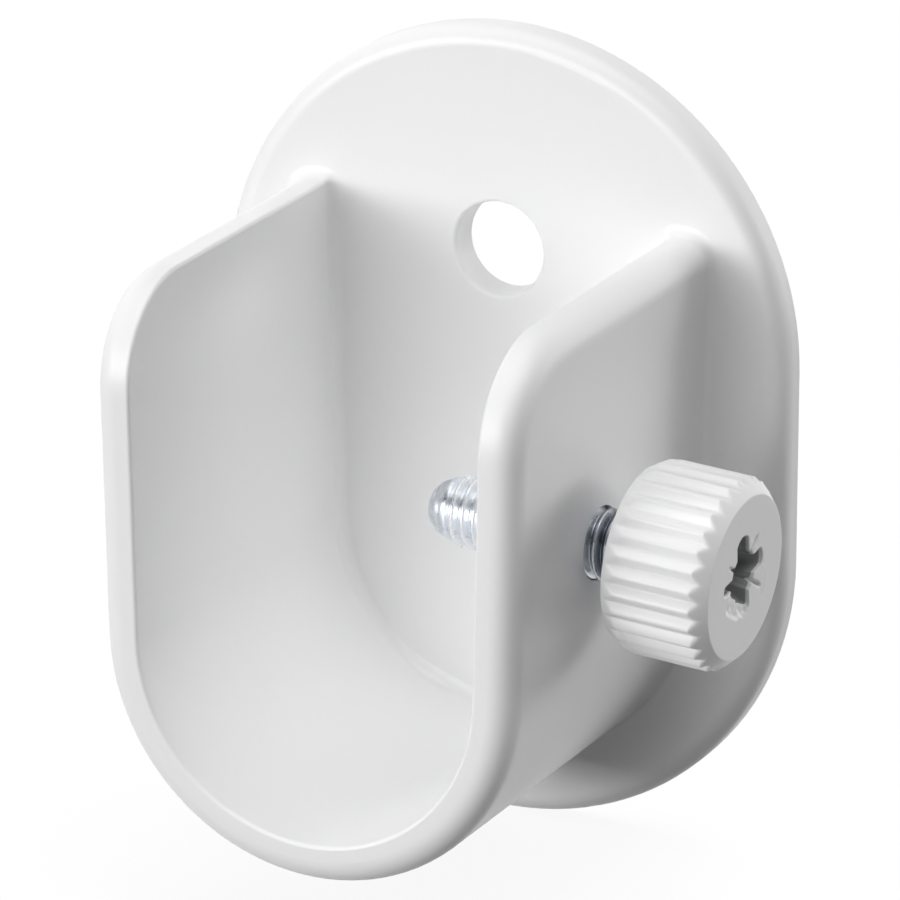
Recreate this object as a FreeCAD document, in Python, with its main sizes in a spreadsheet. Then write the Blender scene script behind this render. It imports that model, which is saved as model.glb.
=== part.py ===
import FreeCAD, Part
import math
import os

import Sketcher

# Curtain pole bracket: a cast cup on a rounded wall plate, with a thumbscrew through its right wall.
# Millimetres. +Z is up, -Y is the front, and the origin is the middle of the face against the wall.

SIZES = [
    ("plate_width", 42.5, "width of the wall plate"),
    ("plate_height", 56.0, "height of the wall plate"),
    ("plate_thick", 2.3, "thickness of the wall plate"),
    ("plate_edge", 1.3, "rounding of the plate's front edge"),
    ("fixing_dia", 6.5, "hole for the wall screw"),
    ("fixing_below_top", 15.3, "middle of that hole below the plate's top"),
    ("fixing_edge", 0.3, "rounding of that hole's front edge"),
    ("projection", 30.0, "from the wall to the front rim of the cup"),
    ("pole_dia", 24.0, "thickest pole that the cup takes"),
    ("pole_play", 0.7, "how much wider than the pole the seat is"),
    ("cup_wall", 2.8, "thickness of the cup's wall"),
    ("plate_below_cup", 5.1, "plate that shows below the cup"),
    ("plate_above_cup", 12.3, "plate that shows above the cup's walls"),
    ("wall_lean", 1.25, "lean of each cup wall outwards, in degrees"),
    ("front_corner", 7.0, "rounding of the walls' top front corners"),
    ("rim_outside", 1.7, "rounding of the rim's outer edge"),
    ("rim_inside", 0.25, "rounding of the rim's inner edge"),
    ("root_fillet", 0.8, "fillet where the cup grows out of the plate"),
    ("screw_dia", 4.9, "thumbscrew shank over its thread"),
    ("screw_play", 0.05, "gap round the shank in the wall"),
    ("screw_length", 15.3, "shank from the head's back to the tip"),
    ("screw_dome", 1.9, "height of the rounded tip"),
    ("screw_tip_step", 0.32, "how far the tip's dome lies inside the thread"),
    ("screw_tip_runout", 0.65, "length over which the thread draws in to the dome"),
    ("screw_out", 17.5, "screw axis in front of the wall, at the cup's outer face"),
    ("screw_above_pole", 7.24, "screw axis above the pole's axis, at the cup's outer face"),
    ("screw_slope", 3.0, "slope of the screw down towards its head, in degrees"),
    ("head_gap", 2.92, "from the cup's outer face to the head's back, along the screw"),
    ("head_dia", 13.0, "thumbscrew head over its ribs"),
    ("head_length", 7.5, "length of the thumbscrew head"),
    ("head_front_bevel", 1.0, "bevel round the head's outer face"),
    ("head_back_step", 0.65, "how far the head's back edge draws in"),
    ("head_back_bevel", 1.1, "length of the head's back edge bevel"),
    ("rib_count", 30, "ribs round the head"),
    ("rib_turn", 4.6, "how far the ribs are turned round the screw, in degrees"),
    ("groove_depth", 0.55, "depth of the grooves between the ribs"),
    ("groove_half_angle", 50.0, "half the angle of a groove, in degrees"),
    ("recess_dia", 5.6, "driver recess over its four arms"),
    ("recess_foot_dia", 2.6, "the same at the bottom of the recess"),
    ("recess_arm", 1.5, "width of an arm"),
    ("recess_core_dia", 3.3, "round middle of the recess"),
    ("recess_core_foot_dia", 2.0, "the same at the bottom"),
    ("recess_tick_dia", 4.9, "recess over the four thin notches between its arms"),
    ("recess_tick_foot_dia", 2.2, "the same at the bottom"),
    ("recess_tick", 0.4, "width of a notch"),
    ("recess_arms", 4, "arms of the recess, and notches between them"),
    ("recess_depth", 3.0, "depth of the driver recess"),
    ("recess_turn", 9.0, "how far the recess is turned round the screw, in degrees"),
]

# How near a point on an edge has to be to the place that is looked for.
NEAR = 0.01
# Where along its length an edge is looked at.
SAMPLES = (0.02, 0.25, 0.5, 0.75, 0.98)
# A cut that takes away less than this many cubic millimetres has missed.
LEAST_CUT = 1.0
# A turned sketch starts at this angle, because a turn of nothing would lose its axis.
FIRST_TURN = 1.0

DERIVED = [
    ("plate_round", "plate_width / 2"),
    ("plate_straight", "plate_height / 2 - plate_round"),
    ("seat_radius", "(pole_dia + pole_play) / 2"),
    ("cup_radius", "seat_radius + cup_wall"),
    ("seat_drop", "plate_height / 2 - plate_below_cup - cup_radius"),
    ("cup_top", "plate_height / 2 - plate_above_cup"),
    ("fixing_rise", "plate_height / 2 - fixing_below_top"),
    ("screw_drop", "seat_drop - screw_above_pole"),
    ("head_radius", "head_dia / 2"),
    ("screw_radius", "screw_dia / 2"),
    ("tapping_radius", "screw_radius + screw_play"),
    ("tapping_cut", "4 * cup_wall"),
    ("groove_width", "2 * groove_depth * tan(groove_half_angle * 1 deg)"),
]


def fill_sheet(doc):
    """Write the driving sizes, and those worked out from them, into the sheet."""
    sheet = doc.addObject("Spreadsheet::Sheet", "sizes")
    rows = [(name, str(value), note) for name, value, note in SIZES]
    rows += [(name, "=" + rule, "worked out") for name, rule in DERIVED]
    for row, (name, value, note) in enumerate(rows, start=1):
        sheet.set("A%d" % row, name)
        sheet.set("B%d" % row, value)
        sheet.set("C%d" % row, note)
        sheet.setAlias("B%d" % row, name)
    doc.recompute()
    return sheet


def bound(rule):
    """Write a rule in size names as an expression that reads the sheet."""
    names = sorted([row[0] for row in SIZES] + [row[0] for row in DERIVED], key=len, reverse=True)
    words = []
    word = ""
    for letter in rule + " ":
        if letter.isalnum() or letter == "_":
            word += letter
            continue
        words.append("sizes." + word if word in names else word)
        words.append(letter)
        word = ""
    return "".join(words).strip()


def value(sheet, rule):
    """Work out a rule in size names as a number, for a sketch's starting shape."""
    sheet.set("E1", "=" + rule)
    sheet.recompute()
    return float(sheet.get("E1"))


def origin_plane(body, role):
    return next(item for item in body.Origin.OriginFeatures if item.Role == role)


def new_sketch(body, name, role, offset="0"):
    """Make a sketch on one of the body's own planes, moved off it by a rule."""
    sketch = body.newObject("Sketcher::SketchObject", name)
    sketch.AttachmentSupport = [(origin_plane(body, role), "")]
    sketch.MapMode = "FlatFace"
    if offset != "0":
        sketch.setExpression("AttachmentOffset.Base.z", bound(offset))
    return sketch


def turn_sketch(sketch, axis, rule):
    """Turn a sketch about an axis through its own origin, by a rule in degrees."""
    turned = FreeCAD.Rotation(axis, FIRST_TURN)
    sketch.AttachmentOffset = FreeCAD.Placement(FreeCAD.Vector(0, 0, 0), turned)
    sketch.setExpression("AttachmentOffset.Rotation.Angle", bound("(%s) * 1 deg" % rule))


def constrain(sketch, kind, *args, rule=None, name=None):
    """Add a constraint, and bind it to a rule where it has one."""
    index = sketch.addConstraint(Sketcher.Constraint(kind, *args))
    if rule is not None:
        sketch.renameConstraint(index, name)
        sketch.setExpression("Constraints." + name, bound(rule))
    return index


def place_point(sheet, sketch, item, end, across, up, name):
    """Hold a point of the sketch at a place given by two rules."""
    if across == "0":
        constrain(sketch, "PointOnObject", item, end, -2)
    else:
        reach = value(sheet, across)
        constrain(sketch, "DistanceX", -1, 1, item, end, reach, rule=across, name=name + "_across")
    if up == "0":
        constrain(sketch, "PointOnObject", item, end, -1)
    else:
        height = value(sheet, up)
        constrain(sketch, "DistanceY", -1, 1, item, end, height, rule=up, name=name + "_up")


def point_of(sheet, across, up):
    return FreeCAD.Vector(value(sheet, across), value(sheet, up), 0)


def outline(sheet, sketch, corners, dome=None):
    """Draw a closed outline through corners given by rules.

    The side named by dome is an arc with its middle on the sketch's upright axis.
    """
    points = [point_of(sheet, across, up) for across, up in corners]
    count = len(points)
    for i in range(count):
        start = points[i]
        end = points[(i + 1) % count]
        if i == dome:
            rise = abs(end.y - start.y)
            reach = abs(end.x - start.x)
            radius = (reach * reach + rise * rise) / (2 * rise)
            middle_angle = math.asin(reach / radius) / 2
            centre_height = min(start.y, end.y) + radius
            middle = FreeCAD.Vector(
                radius * math.sin(middle_angle), centre_height - radius * math.cos(middle_angle), 0
            )
            sketch.addGeometry(Part.Arc(start, middle, end), False)
        else:
            sketch.addGeometry(Part.LineSegment(start, end), False)
    ends = {i: (1, 2) for i in range(count)}
    if dome is not None:
        arc_start = sketch.Geometry[dome].StartPoint
        if (arc_start - points[dome]).Length > NEAR:
            ends[dome] = (2, 1)
    for i in range(count):
        following = (i + 1) % count
        constrain(sketch, "Coincident", i, ends[i][1], following, ends[following][0])
    for i, (across, up) in enumerate(corners):
        place_point(sheet, sketch, i, ends[i][0], across, up, "corner_%d" % i)
    if dome is not None:
        constrain(sketch, "PointOnObject", dome, 3, -2)


def plate_outline(sheet, sketch):
    """Draw the plate's outline: two half circles joined by upright sides."""
    radius = value(sheet, "plate_round")
    straight = value(sheet, "plate_straight")
    top = FreeCAD.Vector(0, straight, 0)
    bottom = FreeCAD.Vector(0, -straight, 0)
    up = FreeCAD.Vector(0, 0, 1)
    side = FreeCAD.Vector(radius, 0, 0)
    sketch.addGeometry(Part.ArcOfCircle(Part.Circle(top, up, radius), 0, math.pi), False)
    sketch.addGeometry(Part.LineSegment(top - side, bottom - side), False)
    sketch.addGeometry(Part.ArcOfCircle(Part.Circle(bottom, up, radius), math.pi, 2 * math.pi), False)
    sketch.addGeometry(Part.LineSegment(bottom + side, top + side), False)
    constrain(sketch, "Tangent", 0, 2, 1, 1)
    constrain(sketch, "Tangent", 1, 2, 2, 1)
    constrain(sketch, "Tangent", 2, 2, 3, 1)
    constrain(sketch, "Tangent", 3, 2, 0, 1)
    constrain(sketch, "Equal", 0, 2)
    constrain(sketch, "Symmetric", 0, 3, 2, 3, -1, 1)
    constrain(sketch, "PointOnObject", 0, 3, -2)
    constrain(sketch, "Radius", 0, radius, rule="plate_round", name="round")
    constrain(sketch, "DistanceY", 2, 3, 0, 3, 2 * straight, rule="2 * plate_straight", name="straight")


def cup_outline(sheet, sketch, radius_rule, top_rule):
    """Draw the cup's section: a round bottom about the pole's axis, and two walls that lean outwards."""
    radius = value(sheet, radius_rule)
    top = value(sheet, top_rule)
    drop = value(sheet, "seat_drop")
    lean = math.radians(value(sheet, "wall_lean"))
    centre = FreeCAD.Vector(0, -drop, 0)
    foot = FreeCAD.Vector(radius * math.cos(lean), -drop - radius * math.sin(lean), 0)
    head = FreeCAD.Vector(foot.x + (top - foot.y) * math.tan(lean), top, 0)
    left_foot = FreeCAD.Vector(-foot.x, foot.y, 0)
    left_head = FreeCAD.Vector(-head.x, head.y, 0)
    circle = Part.Circle(centre, FreeCAD.Vector(0, 0, 1), radius)
    sketch.addGeometry(Part.ArcOfCircle(circle, math.pi + lean, 2 * math.pi - lean), False)
    sketch.addGeometry(Part.LineSegment(foot, head), False)
    sketch.addGeometry(Part.LineSegment(head, left_head), False)
    sketch.addGeometry(Part.LineSegment(left_head, left_foot), False)
    constrain(sketch, "PointOnObject", 0, 3, -2)
    constrain(sketch, "DistanceY", 0, 3, -1, 1, drop, rule="seat_drop", name="drop")
    constrain(sketch, "Radius", 0, radius, rule=radius_rule, name="round")
    constrain(sketch, "Tangent", 0, 2, 1, 1)
    constrain(sketch, "Tangent", 3, 2, 0, 1)
    constrain(sketch, "Coincident", 1, 2, 2, 1)
    constrain(sketch, "Coincident", 2, 2, 3, 1)
    constrain(sketch, "Symmetric", 2, 1, 2, 2, -2)
    constrain(sketch, "DistanceY", -1, 1, 1, 2, top, rule=top_rule, name="top")
    constrain(sketch, "Angle", 1, math.pi / 2 - lean, rule="(90 - wall_lean) * 1 deg", name="lean")


def circle_outline(sheet, sketch, up_rule, radius_rule):
    """Draw one circle on the sketch's upright axis."""
    centre = point_of(sheet, "0", up_rule)
    sketch.addGeometry(Part.Circle(centre, FreeCAD.Vector(0, 0, 1), value(sheet, radius_rule)), False)
    if up_rule == "0":
        constrain(sketch, "Coincident", 0, 3, -1, 1)
    else:
        place_point(sheet, sketch, 0, 3, "0", up_rule, "centre")
    constrain(sketch, "Radius", 0, value(sheet, radius_rule), rule=radius_rule, name="round")


def pad(body, sketch, name, length_rule):
    feature = body.newObject("PartDesign::Pad", name)
    feature.Profile = sketch
    feature.setExpression("Length", bound(length_rule))
    sketch.Visibility = False
    return feature


def pocket(body, sketch, name, length_rule, backwards=False):
    feature = body.newObject("PartDesign::Pocket", name)
    feature.Profile = sketch
    feature.Reversed = backwards
    feature.setExpression("Length", bound(length_rule))
    sketch.Visibility = False
    return feature


def fillet(doc, body, name, radius_rule, wanted):
    """Round the edges of the body's last solid whose sampled points all pass a test."""
    base = body.Tip
    names = []
    for index, edge in enumerate(base.Shape.Edges, start=1):
        first, last = edge.ParameterRange
        steps = [first + (last - first) * part for part in SAMPLES]
        if all(wanted(edge.valueAt(step)) for step in steps):
            names.append("Edge%d" % index)
    if not names:
        raise RuntimeError("no edge found for " + name)
    feature = body.newObject("PartDesign::Fillet", name)
    feature.Base = (base, names)
    feature.setExpression("Radius", bound(radius_rule))
    doc.recompute()
    return feature


def near(a, b):
    return abs(a - b) < NEAR


def make_bracket(doc, sheet):
    """The casting: wall plate, cup, fixing hole and the tapped hole for the thumbscrew."""
    body = doc.addObject("PartDesign::Body", "bracket")
    body.Label = "bracket"

    plate_sketch = new_sketch(body, "plate_sketch", "XZ_Plane")
    plate_outline(sheet, plate_sketch)
    pad(body, plate_sketch, "plate", "plate_thick")
    cup_sketch = new_sketch(body, "cup_sketch", "XZ_Plane")
    cup_outline(sheet, cup_sketch, "cup_radius", "cup_top")
    pad(body, cup_sketch, "cup", "projection")
    seat_sketch = new_sketch(body, "seat_sketch", "XZ_Plane", "projection")
    cup_outline(sheet, seat_sketch, "seat_radius", "cup_top + cup_wall")
    pocket(body, seat_sketch, "seat", "projection - plate_thick")
    doc.recompute()

    lean = math.radians(value(sheet, "wall_lean"))
    drop = value(sheet, "seat_drop")
    cup_radius = value(sheet, "cup_radius")
    seat_radius = value(sheet, "seat_radius")
    front = -value(sheet, "projection")
    plate_face = -value(sheet, "plate_thick")
    top = value(sheet, "cup_top")
    fixing_rise = value(sheet, "fixing_rise")
    fixing_radius = value(sheet, "fixing_dia") / 2
    plate_round = value(sheet, "plate_round")
    plate_straight = value(sheet, "plate_straight")

    def from_pole_axis(p):
        """Distance from the pole's axis to the U-shaped wall through a point."""
        across = abs(p.x)
        up = p.z + drop
        if up > -across * math.tan(lean):
            return across * math.cos(lean) - up * math.sin(lean)
        return math.hypot(across, up)

    def ahead_of_plate(p):
        return p.y < plate_face - NEAR

    def on_plate_outline(p):
        past_straight = max(abs(p.z) - plate_straight, 0)
        return near(math.hypot(p.x, past_straight), plate_round)

    fillet(doc, body, "front_corners", "front_corner", lambda p: near(p.y, front) and near(p.z, top))
    fillet(
        doc, body, "outer_rim", "rim_outside",
        lambda p: near(from_pole_axis(p), cup_radius) and ahead_of_plate(p),
    )
    fillet(
        doc, body, "inner_rim", "rim_inside",
        lambda p: near(from_pole_axis(p), seat_radius) and ahead_of_plate(p),
    )
    fillet(
        doc, body, "cup_root", "root_fillet",
        lambda p: near(p.y, plate_face) and p.z < top + NEAR and from_pole_axis(p) < cup_radius + NEAR,
    )
    fillet(
        doc, body, "plate_rounding", "plate_edge",
        lambda p: near(p.y, plate_face) and on_plate_outline(p),
    )

    fixing_sketch = new_sketch(body, "fixing_sketch", "XZ_Plane", "plate_thick")
    circle_outline(sheet, fixing_sketch, "fixing_rise", "fixing_dia / 2")
    pocket(body, fixing_sketch, "fixing_hole", "plate_thick")
    doc.recompute()
    fillet(
        doc, body, "fixing_rounding", "fixing_edge",
        lambda p: near(p.y, plate_face) and near(math.hypot(p.x, p.z - fixing_rise), fixing_radius),
    )

    tapped_sketch = new_sketch(body, "tapped_sketch", "YZ_Plane")
    turn_sketch(tapped_sketch, FreeCAD.Vector(1, 0, 0), "screw_slope")
    tapped_sketch.setExpression("AttachmentOffset.Base.x", bound("-screw_out"))
    tapped_sketch.setExpression("AttachmentOffset.Base.y", bound("-screw_drop"))
    tapped_sketch.setExpression("AttachmentOffset.Base.z", bound(face_across()))
    circle_outline(sheet, tapped_sketch, "0", "tapping_radius")
    before = body.Tip.Shape.Volume
    tapped = pocket(body, tapped_sketch, "tapped_hole", "tapping_cut")
    tapped.Midplane = True
    doc.recompute()
    if body.Tip.Shape.Volume > before - LEAST_CUT:
        raise RuntimeError("the tapped hole cut nothing")
    return body


def face_across():
    """Rule for the distance from the middle to the cup's outer face, at the screw's height."""
    return "cup_radius / cos(wall_lean * 1 deg) + screw_above_pole * tan(wall_lean * 1 deg)"


def driver_wing(doc, sheet, body, name, turn_rule, reach_rule, foot_rule, width_rule):
    """Cut one arm or notch of the driver recess, and repeat it round the screw."""
    sketch = new_sketch(body, name + "_sketch", "XZ_Plane")
    turn_sketch(sketch, FreeCAD.Vector(0, 1, 0), turn_rule)
    outline(
        sheet,
        sketch,
        [
            ("0", "head_length"),
            ("0", "head_length - recess_depth"),
            (foot_rule, "head_length - recess_depth"),
            (reach_rule, "head_length"),
        ],
    )
    wing = pocket(body, sketch, name, width_rule)
    wing.Midplane = True
    return repeat_round(doc, body, wing, name + "s_round", "recess_arms")


def repeat_round(doc, body, feature, name, count_rule):
    """Repeat a cut evenly round the body's Z axis, and stop if it cut nothing."""
    before = feature.BaseFeature.Shape.Volume
    pattern = body.newObject("PartDesign::PolarPattern", name)
    pattern.Originals = [feature]
    pattern.Axis = (origin_plane(body, "Z_Axis"), [""])
    pattern.Angle = 360.0
    pattern.setExpression("Occurrences", bound(count_rule))
    body.Tip = pattern
    doc.recompute()
    if pattern.Shape.Volume > before - LEAST_CUT:
        raise RuntimeError(name + " cut nothing")
    return pattern


def make_thumbscrew(doc, sheet):
    """The thumbscrew, drawn along its own +Z from the back of its head, then laid in the tapped hole."""
    body = doc.addObject("PartDesign::Body", "thumbscrew")
    body.Label = "thumbscrew"

    profile = new_sketch(body, "profile_sketch", "XZ_Plane")
    tip = "screw_radius - screw_tip_step"
    outline(
        sheet,
        profile,
        [
            ("0", "-screw_length"),
            (tip, "screw_dome - screw_length"),
            ("screw_radius", "screw_dome + screw_tip_runout - screw_length"),
            ("screw_radius", "0"),
            ("head_radius - head_back_step", "0"),
            ("head_radius", "head_back_bevel"),
            ("head_radius", "head_length - head_front_bevel"),
            ("head_radius - head_front_bevel", "head_length"),
            ("0", "head_length"),
        ],
        dome=0,
    )
    turned = body.newObject("PartDesign::Revolution", "turned")
    turned.Profile = profile
    turned.ReferenceAxis = (profile, ["V_Axis"])
    turned.Angle = 360.0
    profile.Visibility = False
    doc.recompute()

    groove_sketch = new_sketch(body, "groove_sketch", "XY_Plane")
    turn_sketch(groove_sketch, FreeCAD.Vector(0, 0, 1), "rib_turn")
    outline(
        sheet,
        groove_sketch,
        [
            ("head_radius - groove_depth", "0"),
            ("head_radius + groove_depth", "groove_width"),
            ("head_radius + groove_depth", "-groove_width"),
        ],
    )
    groove = pocket(body, groove_sketch, "groove", "head_length", backwards=True)
    grooves = repeat_round(doc, body, groove, "grooves_round", "rib_count")

    core_sketch = new_sketch(body, "core_sketch", "XZ_Plane")
    outline(
        sheet,
        core_sketch,
        [
            ("0", "head_length"),
            ("0", "head_length - recess_depth"),
            ("recess_core_foot_dia / 2", "head_length - recess_depth"),
            ("recess_core_dia / 2", "head_length"),
        ],
    )
    core = body.newObject("PartDesign::Groove", "recess_core")
    core.Profile = core_sketch
    core.ReferenceAxis = (core_sketch, ["V_Axis"])
    core.Angle = 360.0
    core_sketch.Visibility = False
    doc.recompute()
    if core.Shape.Volume > grooves.Shape.Volume - LEAST_CUT:
        raise RuntimeError("the recess's middle cut nothing")
    driver_wing(
        doc, sheet, body, "recess_arm_cut", "recess_turn",
        "recess_dia / 2", "recess_foot_dia / 2", "recess_arm",
    )
    driver_wing(
        doc, sheet, body, "recess_tick_cut", "recess_turn + 180 / recess_arms",
        "recess_tick_dia / 2", "recess_tick_foot_dia / 2", "recess_tick",
    )

    body.Placement = FreeCAD.Placement(
        FreeCAD.Vector(0, 0, 0), FreeCAD.Rotation(FreeCAD.Vector(0, 1, 0), 90)
    )
    slope = "screw_slope * 1 deg"
    body.setExpression("Placement.Base.x", bound(face_across() + " + head_gap * cos(%s)" % slope))
    body.setExpression("Placement.Base.y", bound("-screw_out"))
    body.setExpression("Placement.Base.z", bound("-screw_drop - head_gap * sin(%s)" % slope))
    body.setExpression("Placement.Rotation.Angle", bound("90 deg + " + slope))
    doc.recompute()
    return body


def check(doc, bodies):
    """Stop if anything failed to build."""
    for item in doc.Objects:
        bad = [word for word in item.State if word in ("Invalid", "Error")]
        if bad:
            raise RuntimeError("%s is %s" % (item.Name, ", ".join(bad)))
    for body in bodies:
        shape = body.Shape
        if shape.isNull() or not shape.isValid() or len(shape.Solids) != 1:
            raise RuntimeError(body.Label + " is not one good solid")


def main():
    doc = FreeCAD.newDocument("curtain_pole_bracket")
    sheet = fill_sheet(doc)
    bodies = [make_bracket(doc, sheet), make_thumbscrew(doc, sheet)]
    doc.recompute()
    check(doc, bodies)
    os.makedirs("parts", exist_ok=True)
    for body in bodies:
        body.Shape.exportStep("parts/%s.step" % body.Label)
        print(body.Label, "volume %.1f mm3, %d faces" % (body.Shape.Volume, len(body.Shape.Faces)))


main()
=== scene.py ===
import math

import bpy
import numpy as np
from mathutils import Matrix, Vector, noise


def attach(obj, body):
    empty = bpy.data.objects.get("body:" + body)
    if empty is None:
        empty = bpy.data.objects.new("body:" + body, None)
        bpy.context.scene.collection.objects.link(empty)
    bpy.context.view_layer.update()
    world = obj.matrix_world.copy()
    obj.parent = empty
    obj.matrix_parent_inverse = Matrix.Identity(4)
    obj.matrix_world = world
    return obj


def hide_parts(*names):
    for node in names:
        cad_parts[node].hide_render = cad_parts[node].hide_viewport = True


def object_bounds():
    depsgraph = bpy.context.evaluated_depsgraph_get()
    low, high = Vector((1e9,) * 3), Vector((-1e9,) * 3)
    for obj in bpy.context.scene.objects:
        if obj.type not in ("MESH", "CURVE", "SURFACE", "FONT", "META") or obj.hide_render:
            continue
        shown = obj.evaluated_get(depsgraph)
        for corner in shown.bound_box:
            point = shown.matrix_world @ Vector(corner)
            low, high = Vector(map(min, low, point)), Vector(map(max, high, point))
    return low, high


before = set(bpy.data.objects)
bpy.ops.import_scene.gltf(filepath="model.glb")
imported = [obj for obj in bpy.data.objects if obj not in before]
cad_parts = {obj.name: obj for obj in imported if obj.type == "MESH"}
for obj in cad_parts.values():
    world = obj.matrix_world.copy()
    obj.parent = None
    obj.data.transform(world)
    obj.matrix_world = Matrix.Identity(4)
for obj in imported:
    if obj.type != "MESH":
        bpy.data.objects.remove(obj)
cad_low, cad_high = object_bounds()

# Curtain pole bracket: a white-coated casting, and a thumbscrew with a coated head and a plated
# thread. Metres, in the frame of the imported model. Sizes named _MM are millimetres.
MM = 0.001

# Thumbscrew, in its own frame: z along the screw, from the back of its head towards the recess.
CUP_FACE_MM = 15.312
SCREW_OUT_MM = 17.5
SCREW_DROP_MM = 0.51
SCREW_SLOPE = math.radians(3.0)
HEAD_GAP_MM = 2.92

HEAD_RADIUS_MM = 6.5
HEAD_LENGTH_MM = 7.5
HEAD_START_MM = 2.3
FRONT_BEVEL_MM = 1.0
BACK_STEP_MM = 0.65
BACK_BEVEL_MM = 1.1
LIP_RADIUS_MM = 3.3
# Rounding of the head's four corners, from its back to its face.
CORNER_ROUNDS_MM = (0.12, 0.9, 0.18, 0.16)
RING_SPACING_MM = 0.34
RIBS = 30
POINTS_PER_RIB = 16
RIB_TURN = math.radians(4.6)
GROOVE_DEPTH_MM = 0.46
# How blunt a groove's bottom is, as a share of half a rib, and the power its flanks follow.
GROOVE_SOFTNESS = 0.04
FLANK_CURVE = 1.2
CREST_RISE_MM = 0.02
CREST_SOFTNESS_MM = 0.11
COATING_FLOW_MM = 0.012

SHANK_RADIUS_MM = 2.45
SHANK_LENGTH_MM = 15.3
THREAD_PITCH_MM = 0.8
THREAD_DEPTH_MM = 0.46
TIP_DOME_MM = 1.9
TIP_STEP_MM = 0.32
TIP_RUNOUT_MM = 0.65
TIP_THREAD_MM = 0.08
TIP_THREAD_START_MM = 0.4
THREAD_SOFTNESS_MM = 0.08
SHANK_OVERLAP_MM = 0.3
SHANK_POINTS = 72
RINGS_PER_PITCH = 14

RECESS_DEPTH_MM = 3.0
RECESS_CORE_MM = 1.65
RECESS_CORE_FOOT_MM = 1.0
RECESS_FOOT_REACH_MM = 1.3
RECESS_ROLL_MM = 0.15
RECESS_WAVES_MM = 0.02
RECESS_LUMPS_MM = 0.04
RECESS_TURN = math.radians(9.0)
RECESS_UP_MM = 0.2
RECESS_SIDE_MM = 0.22
# Each arm: its turn in degrees, reach and half width.
RECESS_ARMS = ((180, 2.8, 0.84), (93, 2.8, 0.68), (0, 2.75, 0.72), (267, 2.78, 0.42))
# Each notch: its turn in degrees, where it starts and ends, half width and depth.
RECESS_TICKS = (
    (145, 1.7, 3.0, 0.13, 0.22),
    (240, 1.7, 2.95, 0.11, 0.25),
    (60, 1.6, 3.0, 0.11, 0.4),
)
TICK_END_FADE_MM = 0.35
TICK_START_FADE_MM = 0.3

# Web of coating over one side of the recess: where it is, how far it reaches, and its surface.
WEB_TURN = math.radians(-27.6)
WEB_HALF_TURN = math.radians(38)
WEB_INNER_MM = 1.66
WEB_INNER_BULGE_MM = 0.16
WEB_INNER_WAVES_MM = 0.05
WEB_OUTER_MM = 2.98
WEB_OUTER_WAVES_MM = 0.16
WEB_MARGIN_MM = 0.3
WEB_EDGE_FADE_MM = 0.25
WEB_STEP_MM = 0.18
WEB_SAG_MM = 0.10
WEB_WRINKLES_MM = 0.10
WEB_WRINKLE_DETAIL = 1.9


def screw_matrix():
    """Places the screw's own frame in the bracket."""
    along = Vector((math.cos(SCREW_SLOPE), 0, -math.sin(SCREW_SLOPE)))
    down = Vector((-math.sin(SCREW_SLOPE), 0, -math.cos(SCREW_SLOPE)))
    back = along.cross(down)
    base = Vector((CUP_FACE_MM, -SCREW_OUT_MM, -SCREW_DROP_MM)) * MM + along * HEAD_GAP_MM * MM
    turn = Matrix((down, back, along)).transposed().to_4x4()
    return Matrix.Translation(base) @ turn


def smooth_min(a, b, softness):
    """The smaller of two values, with a rounded change from one to the other."""
    share = np.clip(0.5 + 0.5 * (b - a) / softness, 0, 1)
    return b * (1 - share) + a * share - softness * share * (1 - share)


def rounded_path(corners, radii, steps=6):
    """A run of points through corners, each corner rounded by its radius."""
    corners = [np.array(c, float) for c in corners]
    path = [corners[0]]
    for before, corner, after, radius in zip(corners, corners[1:], corners[2:], radii):
        to_before = (before - corner) / np.linalg.norm(before - corner)
        to_after = (after - corner) / np.linalg.norm(after - corner)
        half = math.acos(np.clip(to_before @ to_after, -1, 1)) / 2
        cut = radius / math.tan(half)
        bisector = to_before + to_after
        centre = corner + bisector / np.linalg.norm(bisector) * radius / math.sin(half)
        start = corner + to_before * cut - centre
        end = corner + to_after * cut - centre
        for step in range(steps + 1):
            mixed = start * (1 - step / steps) + end * (step / steps)
            path.append(centre + mixed / np.linalg.norm(mixed) * radius)
    path.append(corners[-1])
    return path


def filled(path, longest):
    """The same path with points added, so that no run is longer than asked."""
    points = [path[0]]
    for start, end in zip(path, path[1:]):
        parts = max(1, math.ceil(np.linalg.norm(end - start) / longest))
        points += [start + (end - start) * part / parts for part in range(1, parts + 1)]
    return points


def ring_piece(name, rings, first_middle, last_middle, place):
    """A closed mesh from rings of points in millimetres, capped at both ends."""
    rings = np.asarray(rings)
    count, around = rings.shape[:2]
    points = np.vstack([rings.reshape(-1, 3), [first_middle], [last_middle]])
    faces = []
    for i in range(count - 1):
        for j in range(around):
            k = (j + 1) % around
            this, above = i * around, (i + 1) * around
            faces.append((this + j, this + k, above + k, above + j))
    first, last = count * around, count * around + 1
    end = (count - 1) * around
    for j in range(around):
        k = (j + 1) % around
        faces.append((first, k, j))
        faces.append((last, end + j, end + k))
    mesh = bpy.data.meshes.new(name)
    mesh.from_pydata((points * MM).tolist(), [], faces)
    mesh.transform(place)
    mesh.polygons.foreach_set("use_smooth", [True] * len(mesh.polygons))
    mesh.update()
    piece = bpy.data.objects.new(name, mesh)
    bpy.context.scene.collection.objects.link(piece)
    return piece


def recess_outline(angles, arms, core):
    """Distance from the middle of the recess to its wall, for each angle."""
    reach = np.full_like(angles, core)
    for turn, arm_reach, half_width in arms:
        off = (angles - turn + math.pi) % (2 * math.pi) - math.pi
        side = half_width / np.maximum(np.abs(np.sin(off)), 1e-6)
        end = arm_reach * (1 - 0.9 * off ** 2)
        reach = np.maximum(reach, np.where(np.cos(off) > 0, np.minimum(side, end), 0))
    return reach


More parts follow.
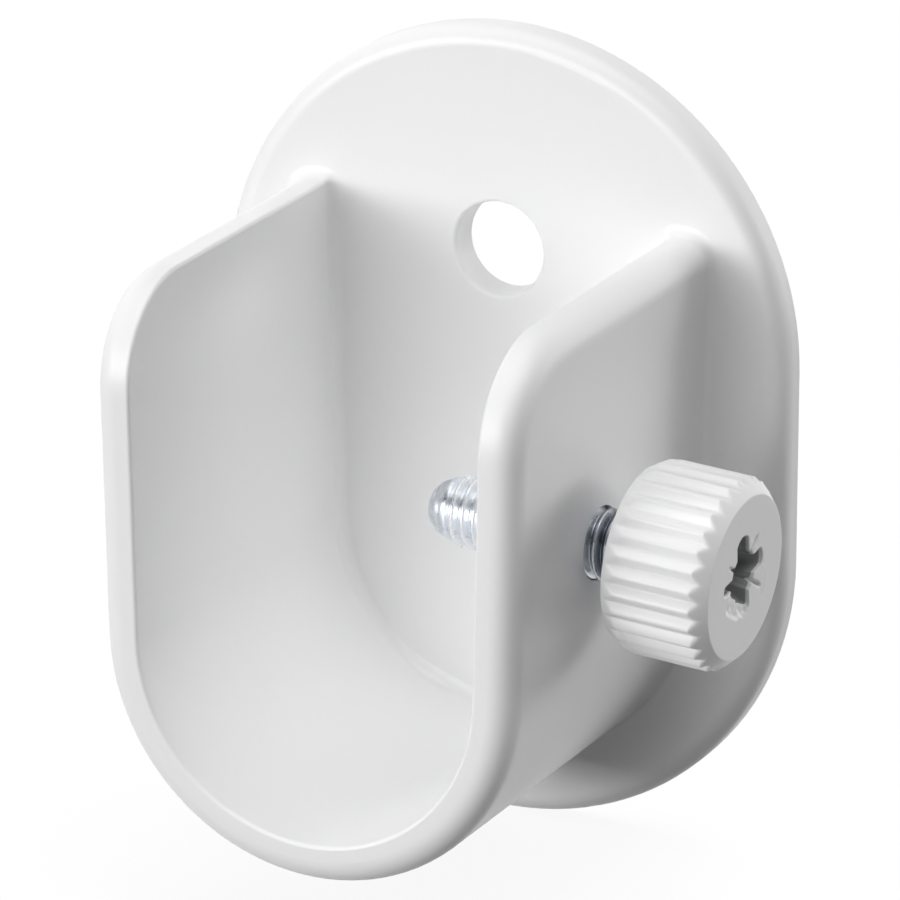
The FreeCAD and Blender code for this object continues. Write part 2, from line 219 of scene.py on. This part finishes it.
def softened(values, width):
    """Values round a circle, averaged over their neighbours."""
    reach = math.ceil(3 * width)
    span = np.arange(-reach, reach + 1)
    weights = np.exp(-0.5 * (span / width) ** 2)
    weights /= weights.sum()
    return sum(weight * np.roll(values, shift) for weight, shift in zip(weights, span))


def wobble(angles, height, seed, detail):
    """Smooth unevenness round the screw, between about -1 and 1."""
    return np.array([
        noise.noise(Vector((math.cos(a) * detail, math.sin(a) * detail, height * detail + seed)))
        for a in angles
    ])


def round_ring(angles, reach, height):
    """A ring of points about the screw's axis."""
    level = np.full(len(angles), height)
    return np.stack([reach * np.cos(angles), reach * np.sin(angles), level], 1)


def make_head(place):
    """The knurled head and its recess. The recess's walls and floor take the second material, a
    darker grey that is partly bare steel and partly painted shade.
    """
    around = RIBS * POINTS_PER_RIB
    angles = np.arange(around) * 2 * math.pi / around
    # Across a rib: 0 in the groove beside it, 1 on its crest. The flanks bulge slightly.
    across = (angles - RIB_TURN) * RIBS / math.pi % 2
    across = np.minimum(across, 2 - across)
    across = np.sqrt(across ** 2 + GROOVE_SOFTNESS ** 2) - GROOVE_SOFTNESS
    fall = np.maximum(1 - across, 0) ** FLANK_CURVE
    ribs = HEAD_RADIUS_MM + CREST_RISE_MM - GROOVE_DEPTH_MM * fall

    face_radius = HEAD_RADIUS_MM - FRONT_BEVEL_MM
    path = rounded_path(
        [
            (HEAD_START_MM, 0),
            (HEAD_RADIUS_MM - BACK_STEP_MM, 0),
            (HEAD_RADIUS_MM, BACK_BEVEL_MM),
            (HEAD_RADIUS_MM, HEAD_LENGTH_MM - FRONT_BEVEL_MM),
            (face_radius, HEAD_LENGTH_MM),
            (LIP_RADIUS_MM, HEAD_LENGTH_MM),
        ],
        CORNER_ROUNDS_MM,
    )
    rings = []
    for radius, height in filled(path, RING_SPACING_MM):
        flow = COATING_FLOW_MM * wobble(angles, height, 3.0, 2.2)
        reach = smooth_min(np.full(around, radius), ribs + flow, CREST_SOFTNESS_MM)
        rings.append(round_ring(angles, reach, height))

    # Recess: a cross that the coating has partly closed. Its lower left is a sunken, wrinkled web.
    arms = [(RECESS_TURN + math.radians(turn), reach, half) for turn, reach, half in RECESS_ARMS]
    outline = recess_outline(angles, arms, RECESS_CORE_MM)
    facing = np.cos(angles - WEB_TURN)
    web_edge = np.where(facing > 0.2, WEB_INNER_MM / np.maximum(facing, 0.2), 9.0)
    web_edge = web_edge + WEB_INNER_BULGE_MM * facing
    web_edge = web_edge + WEB_INNER_WAVES_MM * wobble(angles, 0.0, 31.0, 4.0)
    mouth = softened(np.minimum(outline, web_edge), 1.6)
    mouth = mouth + RECESS_WAVES_MM * wobble(angles, 0.0, 11.0, 7.0)
    webbed = np.clip((outline - web_edge) / WEB_EDGE_FADE_MM + 0.1, 0, 1)
    webbed = np.maximum(webbed, np.where(facing > math.cos(WEB_HALF_TURN), 1, 0))
    webbed = softened(webbed, 5.0)
    ragged = WEB_OUTER_MM + WEB_OUTER_WAVES_MM * wobble(angles, 0.0, 17.0, 6.0)
    brim = (mouth + RECESS_ROLL_MM) * (1 - webbed)
    brim = brim + np.maximum(ragged, mouth + WEB_MARGIN_MM) * webbed

    def recess_ring(reach, depth, inward=1.0):
        """A ring round the middle of the recess, or between that and the head's own middle."""
        x = reach * np.cos(angles) - RECESS_UP_MM * inward
        y = reach * np.sin(angles) - RECESS_SIDE_MM * inward
        return np.stack([x, y, HEAD_LENGTH_MM - depth], 1)

    def ticked(reach, depth):
        """Adds the thin notches between the arms. The web covers the fourth one."""
        for turn, start, end, half, deep in RECESS_TICKS:
            off = (angles - math.radians(turn) + math.pi) % (2 * math.pi) - math.pi
            side = np.exp(-(off * reach / half) ** 2)
            fade_out = np.clip((end - reach) / TICK_END_FADE_MM, 0, 1)
            fade_in = np.clip((reach - start) / TICK_START_FADE_MM + 1, 0, 1)
            depth = depth + deep * side * (fade_out * fade_in)
        return depth

    for share in np.linspace(0.08, 1, 13):
        reach = LIP_RADIUS_MM * (1 - share) + brim * share
        rings.append(recess_ring(reach, ticked(reach, np.zeros(around)), share))
    for share in np.linspace(0.06, 1, 16):
        reach = brim * (1 - share) + mouth * share
        rolled = RECESS_ROLL_MM * (1 - math.sqrt(1 - (share * 0.995) ** 2))
        wrinkles = np.array([
            noise.noise(Vector((
                r * math.cos(a) * WEB_WRINKLE_DETAIL,
                r * math.sin(a) * WEB_WRINKLE_DETAIL,
                5.0,
            )))
            for r, a in zip(reach, angles)
        ])
        middle = math.sin(math.pi * min(share + 0.1, 1))
        sunk = WEB_STEP_MM * min(share * 4, 1) + WEB_SAG_MM * share
        sunk = sunk + WEB_WRINKLES_MM * wrinkles * middle
        depth = rolled * (1 - webbed) + sunk * webbed
        rings.append(recess_ring(reach, ticked(reach, depth)))
    coated = len(rings)
    foot_arms = [(turn, RECESS_FOOT_REACH_MM, half) for turn, _, half in arms]
    foot = softened(recess_outline(angles, foot_arms, RECESS_CORE_FOOT_MM), 4.0)
    rim_depth = HEAD_LENGTH_MM - rings[-1][:, 2]
    for share in np.concatenate([np.linspace(0.04, 0.3, 5), np.linspace(0.4, 1, 6)]):
        lumps = RECESS_LUMPS_MM * wobble(angles, share * 3, 23.0, 4.0) * (1 - share)
        reach = mouth * (1 - share) + foot * share + lumps
        rings.append(recess_ring(reach, rim_depth * (1 - share) + RECESS_DEPTH_MM * share))
    for share in (0.66, 0.33):
        rings.append(recess_ring(foot * share, np.full(around, RECESS_DEPTH_MM)))
    floor_middle = (-RECESS_UP_MM, -RECESS_SIDE_MM, HEAD_LENGTH_MM - RECESS_DEPTH_MM)
    piece = ring_piece("thumbscrew_head", rings, (0, 0, 0), floor_middle, place)
    walls_end = (len(rings) - 1) * around
    slots = np.zeros(len(piece.data.polygons), int)
    # The deeper walls and the floor of the recess take the darker second material: partly bare
    # steel, partly painted shade.
    slots[coated * around:walls_end] = 1
    # After the walls, the two caps' faces take turns, and the second cap is the recess's floor.
    slots[walls_end + 1::2] = 1
    piece.data.polygons.foreach_set("material_index", slots.tolist())
    return piece


def make_shank(place):
    """The threaded shank, from its domed tip to a little way inside the head."""
    around = SHANK_POINTS
    angles = np.arange(around) * 2 * math.pi / around
    dome_edge = SHANK_RADIUS_MM - TIP_STEP_MM
    dome_radius = (dome_edge ** 2 + TIP_DOME_MM ** 2) / (2 * TIP_DOME_MM)
    rings = []
    heights = np.concatenate([
        TIP_DOME_MM * (1 - np.cos(np.linspace(0.12, math.pi / 2, 14))),
        np.arange(
            TIP_DOME_MM + 0.05,
            SHANK_LENGTH_MM + SHANK_OVERLAP_MM,
            THREAD_PITCH_MM / RINGS_PER_PITCH,
        ),
    ])
    for height in heights:
        if height < TIP_DOME_MM:
            envelope = math.sqrt(max(dome_radius ** 2 - (dome_radius - height) ** 2, 0))
        else:
            share = min((height - TIP_DOME_MM) / TIP_RUNOUT_MM, 1)
            envelope = dome_edge + TIP_STEP_MM * share
        phase = (height / THREAD_PITCH_MM - angles / (2 * math.pi)) % 1
        ridge = np.clip(2.2 * (0.5 - np.abs(phase - 0.5)) - 0.05, 0, 1)
        ridge = ridge * ridge * (3 - 2 * ridge) * 0.4 + ridge * 0.6
        thread = SHANK_RADIUS_MM - THREAD_DEPTH_MM * (1 - ridge)
        reach = smooth_min(np.full(around, envelope), thread, THREAD_SOFTNESS_MM)
        if height < TIP_DOME_MM + TIP_RUNOUT_MM:
            begun = min(max(height / TIP_THREAD_START_MM - 1, 0), 1)
            reach = reach - TIP_THREAD_MM * (1 - ridge) * begun
        rings.append(round_ring(angles, reach, height - SHANK_LENGTH_MM))
    tip, end = (0, 0, -SHANK_LENGTH_MM), (0, 0, SHANK_OVERLAP_MM)
    return ring_piece("thumbscrew_shank", rings, tip, end, place)


# Materials

# Where the plating's colour changes: painted shade from the thread's crests down to its roots, and
# painted shade along the neck under the head.
ROOT_RADIUS_MM = 2.05
CREST_RADIUS_MM = 2.38
NECK_SHADE_FROM_MM = 14.0
NECK_SHADE_FULL_MM = 16.5


def new_material(name):
    material = bpy.data.materials.new(name)
    material.use_nodes = True
    tree = material.node_tree
    shader = tree.nodes["Principled BSDF"]
    return material, tree, shader


def add_noise(tree, scale, detail=2.0, roughness=0.5):
    where = tree.nodes.new("ShaderNodeTexCoord")
    grain = tree.nodes.new("ShaderNodeTexNoise")
    grain.inputs["Scale"].default_value = scale
    grain.inputs["Detail"].default_value = detail
    grain.inputs["Roughness"].default_value = roughness
    tree.links.new(where.outputs["Object"], grain.inputs["Vector"])
    return grain


def add_range(tree, value, low, high, source_low=0.35, source_high=0.65):
    span = tree.nodes.new("ShaderNodeMapRange")
    span.inputs["From Min"].default_value = source_low
    span.inputs["From Max"].default_value = source_high
    span.inputs["To Min"].default_value = low
    span.inputs["To Max"].default_value = high
    tree.links.new(value, span.inputs["Value"])
    return span.outputs["Result"]


def add_math(tree, kind, first, second):
    node = tree.nodes.new("ShaderNodeMath")
    node.operation = kind
    for index, value in enumerate((first, second)):
        if isinstance(value, (int, float)):
            node.inputs[index].default_value = value
        else:
            tree.links.new(value, node.inputs[index])
    return node.outputs["Value"]


def add_blend(tree, share, first, second):
    """A mix of two colours, each a socket or three numbers."""
    mix = tree.nodes.new("ShaderNodeMix")
    mix.data_type = "RGBA"
    for name, colour in (("A", first), ("B", second)):
        if isinstance(colour, tuple):
            mix.inputs[name].default_value = (*colour, 1)
        else:
            tree.links.new(colour, mix.inputs[name])
    tree.links.new(share, mix.inputs["Factor"])
    return mix.outputs["Result"]


def add_bump(tree, shader, layers):
    """Stacks bumps: each layer is a height output and how deep it is in metres."""
    normal = None
    for height, depth in layers:
        bump = tree.nodes.new("ShaderNodeBump")
        bump.inputs["Strength"].default_value = 1.0
        bump.inputs["Distance"].default_value = depth
        tree.links.new(height, bump.inputs["Height"])
        if normal is not None:
            tree.links.new(normal, bump.inputs["Normal"])
        normal = bump.outputs["Normal"]
    tree.links.new(normal, shader.inputs["Normal"])


def coating(name, light, dark, gloss_low, gloss_high, peel):
    """White stoved coating: faint cloudiness, uneven gloss, and the skin of a sprayed surface."""
    material, tree, shader = new_material(name)
    clouds = add_noise(tree, 90.0, 3.0)
    share = add_range(tree, clouds.outputs["Fac"], 0.0, 1.0, 0.2, 0.8)
    tree.links.new(add_blend(tree, share, dark, light), shader.inputs["Base Color"])
    patches = add_noise(tree, 160.0, 1.0)
    gloss = add_range(tree, patches.outputs["Fac"], gloss_low, gloss_high, 0.2, 0.8)
    tree.links.new(gloss, shader.inputs["Roughness"])
    skin = add_noise(tree, 1500.0, 1.0)
    swell = add_noise(tree, 260.0, 1.0)
    add_bump(tree, shader, [(swell.outputs["Fac"], peel * 3), (skin.outputs["Fac"], peel)])
    shader.inputs["IOR"].default_value = 1.5
    return material


def plating():
    """Bright zinc plating with a cool cast. Painted shade darkens its thread roots, and it turns
    dark towards the neck under the head, also as painted shade.
    """
    material, tree, shader = new_material("zinc_plating")
    where = tree.nodes.new("ShaderNodeTexCoord")
    split = tree.nodes.new("ShaderNodeSeparateXYZ")
    tree.links.new(where.outputs["Object"], split.inputs["Vector"])
    # The distance from the screw's axis tells the thread's roots from its crests.
    axis_drop = add_math(tree, "MULTIPLY", split.outputs["X"], -math.tan(SCREW_SLOPE))
    axis_start = (CUP_FACE_MM * math.tan(SCREW_SLOPE) - SCREW_DROP_MM) * MM
    axis_level = add_math(tree, "ADD", axis_drop, axis_start)
    above = add_math(tree, "SUBTRACT", split.outputs["Z"], axis_level)
    out = add_math(tree, "ADD", split.outputs["Y"], SCREW_OUT_MM * MM)
    above_square = add_math(tree, "MULTIPLY", above, above)
    out_square = add_math(tree, "MULTIPLY", out, out)
    radius = add_math(tree, "SQRT", add_math(tree, "ADD", above_square, out_square), 0)
    crest = add_range(tree, radius, 0.0, 1.0, ROOT_RADIUS_MM * MM, CREST_RADIUS_MM * MM)
    neck = add_range(tree, split.outputs["X"], 0.0, 1.0, NECK_SHADE_FROM_MM * MM, NECK_SHADE_FULL_MM * MM)
    clouds = add_noise(tree, 500.0, 2.0)
    share = add_range(tree, clouds.outputs["Fac"], 0.0, 1.0)
    bright = add_blend(tree, share, (0.84, 0.86, 0.89), (0.93, 0.94, 0.95))
    # Painted shade: the roots darker than the crests, and both going dark along the neck.
    shaded_root_colour = add_blend(tree, neck, (0.74, 0.78, 0.83), (0.08, 0.09, 0.115))
    top = add_blend(tree, neck, bright, (0.42, 0.45, 0.50))
    tree.links.new(add_blend(tree, crest, shaded_root_colour, top), shader.inputs["Base Color"])
    grain = add_noise(tree, 1800.0, 2.0, 0.5)
    tree.links.new(add_range(tree, grain.outputs["Fac"], 0.24, 0.36), shader.inputs["Roughness"])
    add_bump(tree, shader, [(grain.outputs["Fac"], 1.5e-6)])
    shader.inputs["Metallic"].default_value = 1.0
    return material


def bare_steel_and_painted_shade():
    """Darker grey at the bottom of the driver recess: partly bare steel, which the coating hardly
    reached, and partly painted shade deep in the recess.
    """
    material, tree, shader = new_material("recess_steel_painted_shade")
    stains = add_noise(tree, 900.0, 3.0)
    share = add_range(tree, stains.outputs["Fac"], 0.0, 1.0)
    colour = add_blend(tree, share, (0.32, 0.33, 0.32), (0.42, 0.42, 0.44))
    tree.links.new(colour, shader.inputs["Base Color"])
    tree.links.new(add_range(tree, stains.outputs["Fac"], 0.45, 0.65), shader.inputs["Roughness"])
    add_bump(tree, shader, [(stains.outputs["Fac"], 4e-6)])
    return material


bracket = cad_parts["bracket"]
white = coating("white_coating", (0.95, 0.95, 0.952), (0.93, 0.93, 0.934), 0.30, 0.38, 1.0e-6)
bracket.data.materials.clear()
bracket.data.materials.append(white)

place = screw_matrix()
head = make_head(place)
head.data.materials.append(
    coating("screw_coating", (0.92, 0.92, 0.925), (0.89, 0.89, 0.9), 0.26, 0.34, 2.0e-6)
)
head.data.materials.append(bare_steel_and_painted_shade())
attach(head, "thumbscrew")
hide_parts("thumbscrew")

shank = make_shank(place)
shank.data.materials.append(plating())
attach(shank, "thumbscrew")
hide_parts("thumbscrew")

# Floor: a plain pale sheet under the plate's lowest point. It shows white, and keeps the shadow.
FLOOR_HALF = 3.0
FLOOR_GLOW = 0.9


def shown_rays(tree):
    """1 for the rays that show the background: the camera's, and those in gloss and glass."""
    path = tree.nodes.new("ShaderNodeLightPath")
    glossy, through = path.outputs["Is Glossy Ray"], path.outputs["Is Transmission Ray"]
    mirrored = add_math(tree, "MAXIMUM", glossy, through)
    return add_math(tree, "MAXIMUM", path.outputs["Is Camera Ray"], mirrored)


def make_floor():
    half = FLOOR_HALF
    level = cad_low.z
    mesh = bpy.data.meshes.new("floor")
    mesh.from_pydata(
        [(-half, -half, level), (half, -half, level), (half, half, level), (-half, half, level)],
        [], [(0, 1, 2, 3)],
    )
    floor = bpy.data.objects.new("floor", mesh)
    bpy.context.scene.collection.objects.link(floor)
    material, tree, shader = new_material("floor")
    grain = add_noise(tree, 30.0, 2.0)
    share = add_range(tree, grain.outputs["Fac"], 0.0, 1.0)
    colour = add_blend(tree, share, (0.13, 0.13, 0.13), (0.15, 0.15, 0.15))
    tree.links.new(colour, shader.inputs["Base Color"])
    shader.inputs["Roughness"].default_value = 0.9
    shader.inputs["Specular IOR Level"].default_value = 0.0
    glow = tree.nodes.new("ShaderNodeEmission")
    glow.inputs["Color"].default_value = (1, 1, 1, 1)
    glow.inputs["Strength"].default_value = FLOOR_GLOW
    both = tree.nodes.new("ShaderNodeAddShader")
    tree.links.new(shader.outputs[0], both.inputs[0])
    tree.links.new(glow.outputs[0], both.inputs[1])
    seen = tree.nodes.new("ShaderNodeMixShader")
    tree.links.new(shown_rays(tree), seen.inputs["Fac"])
    tree.links.new(shader.outputs[0], seen.inputs[1])
    tree.links.new(both.outputs[0], seen.inputs[2])
    tree.links.new(seen.outputs[0], tree.nodes["Material Output"].inputs["Surface"])
    mesh.materials.append(material)


make_floor()


# Soft lights all round, each with its azimuth, elevation, strength and tightness. Azimuth 0 is +X
# and 90 is +Y.
LIGHTS = (
    (50, 5, 9.5, 40),
    (125, 8, 6.0, 40),
    (230, 6, 12.0, 40),
    (259, 10, 7.2, 40),
    (0, 66, 2.4, 18),
    (0, 90, 2.0, 10),
)
ROOM_LIGHT = 0.02


def world_light():
    """Soft lights in a dim room. The background behind the object shows white, also in metal."""
    world = bpy.data.worlds.new("studio")
    bpy.context.scene.world = world
    world.use_nodes = True
    tree = world.node_tree
    links = tree.links
    room = tree.nodes["Background"]
    where = tree.nodes.new("ShaderNodeTexCoord")
    light = ROOM_LIGHT
    for azimuth, elevation, strength, tightness in LIGHTS:
        azimuth, elevation = math.radians(azimuth), math.radians(elevation)
        aim = tree.nodes.new("ShaderNodeVectorMath")
        aim.operation = "DOT_PRODUCT"
        aim.inputs[1].default_value = (
            math.cos(elevation) * math.cos(azimuth),
            math.cos(elevation) * math.sin(azimuth),
            math.sin(elevation),
        )
        links.new(where.outputs["Generated"], aim.inputs[0])
        short = add_math(tree, "SUBTRACT", aim.outputs["Value"], 1)
        fall = add_math(tree, "MULTIPLY", short, tightness)
        glow = add_math(tree, "MULTIPLY", add_math(tree, "EXPONENT", fall, 0), strength)
        light = add_math(tree, "ADD", glow, light)
    links.new(light, room.inputs["Strength"])
    room.inputs["Color"].default_value = (1, 1, 1, 1)
    backdrop = tree.nodes.new("ShaderNodeBackground")
    backdrop.inputs["Color"].default_value = (1, 1, 1, 1)
    backdrop.inputs["Strength"].default_value = 1.0
    path = tree.nodes.new("ShaderNodeLightPath")
    split = tree.nodes.new("ShaderNodeSeparateXYZ")
    links.new(where.outputs["Generated"], split.inputs["Vector"])
    behind = tree.nodes.new("ShaderNodeMapRange")
    behind.interpolation_type = "SMOOTHSTEP"
    behind.inputs["From Min"].default_value = -0.3
    behind.inputs["From Max"].default_value = 0.3
    links.new(split.outputs["Y"], behind.inputs["Value"])
    mirrored = add_math(tree, "MULTIPLY", shown_rays(tree), behind.outputs["Result"])
    shown = add_math(tree, "MAXIMUM", path.outputs["Is Camera Ray"], mirrored)
    seen = tree.nodes.new("ShaderNodeMixShader")
    links.new(shown, seen.inputs["Fac"])
    links.new(room.outputs[0], seen.inputs[1])
    links.new(backdrop.outputs[0], seen.inputs[2])
    links.new(seen.outputs[0], tree.nodes["World Output"].inputs["Surface"])


world_light()

# Camera: the photograph's, with the origin's place in the picture held by the camera's own place.
CAMERA_TURN = math.radians(27.657)
CAMERA_TILT = math.radians(20.191)
FOCAL_PIXELS = 7345.8
PICTURE_PIXELS = 900
SENSOR_MM = 36.0
CAMERA_OFFSET = (-0.0043344, -0.0022570, -0.49816)

right = Vector((math.cos(CAMERA_TURN), math.sin(CAMERA_TURN), 0))
ahead = Vector((
    -math.sin(CAMERA_TURN) * math.cos(CAMERA_TILT),
    math.cos(CAMERA_TURN) * math.cos(CAMERA_TILT),
    -math.sin(CAMERA_TILT),
))
up = right.cross(ahead)
camera_data = bpy.data.cameras.new("camera")
camera_data.sensor_width = SENSOR_MM
camera_data.lens = FOCAL_PIXELS * SENSOR_MM / PICTURE_PIXELS
camera_data.clip_start = 0.01
camera_data.clip_end = 20.0
camera = bpy.data.objects.new("camera", camera_data)
place_camera = Matrix((right, up, -ahead)).transposed().to_4x4()
aside, raised, forward = CAMERA_OFFSET
place_camera.translation = right * aside + up * raised + ahead * forward
camera.matrix_world = place_camera
bpy.context.scene.collection.objects.link(camera)
bpy.context.scene.camera = camera

bpy.context.scene.view_settings.view_transform = "Standard"
